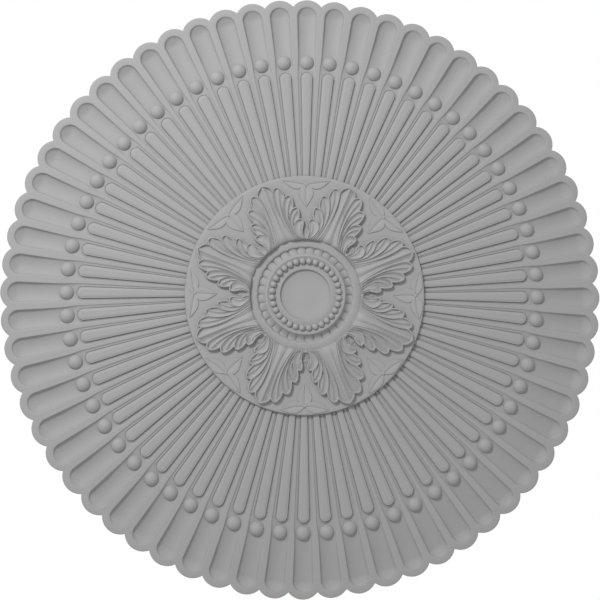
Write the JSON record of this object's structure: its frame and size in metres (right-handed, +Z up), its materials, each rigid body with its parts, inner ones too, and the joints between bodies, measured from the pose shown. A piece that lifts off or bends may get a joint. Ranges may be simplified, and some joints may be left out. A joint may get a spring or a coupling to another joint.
{
  "type": "ceiling rose",
  "caption": "Round ceiling rose with a scalloped rim, radiating reeded flutes with beads, an acanthus rosette, a cove of tongues and a ring of small beads round a flat centre.",
  "frame": {"origin": "centre of the flat back, which lies against the ceiling", "axes": "+Z up out of the back into the ceiling, the ornament faces -Z, +X runs through the middle of a flute"},
  "size_m": [0.7864, 0.7864, 0.0288],
  "materials": {
    "moulded_rose": "matte, primed"
  },
  "bodies": {
    "root": {"ceiling_rose": "moulded_rose"}
  },
  "joints": []
}
